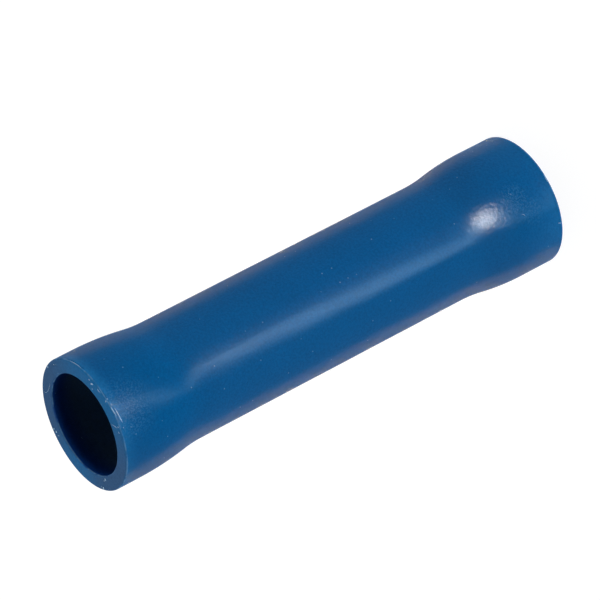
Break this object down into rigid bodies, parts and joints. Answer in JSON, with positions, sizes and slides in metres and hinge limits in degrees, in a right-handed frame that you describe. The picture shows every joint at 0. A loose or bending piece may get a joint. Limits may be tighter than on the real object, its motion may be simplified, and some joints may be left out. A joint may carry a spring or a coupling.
{
  "type": "butt splice connector",
  "caption": "Insulated butt splice: a flared plastic sleeve round a metal crimp barrel with a wire stop rolled into its middle; a wire goes in at either end and is crimped.",
  "frame": {"origin": "centre of the lower cut end, on the surface that the connector stands on", "axes": "+Z along the common axis of sleeve and barrel, from the lower mouth to the upper mouth; X and Y are any two directions across it"},
  "size_m": [0.0064, 0.0064, 0.025],
  "materials": {
    "blue_vinyl": "satin",
    "tinned_copper": "satin"
  },
  "bodies": {
    "root": {"insulating_sleeve": "blue_vinyl", "crimp_barrel": "tinned_copper"}
  },
  "joints": []
}
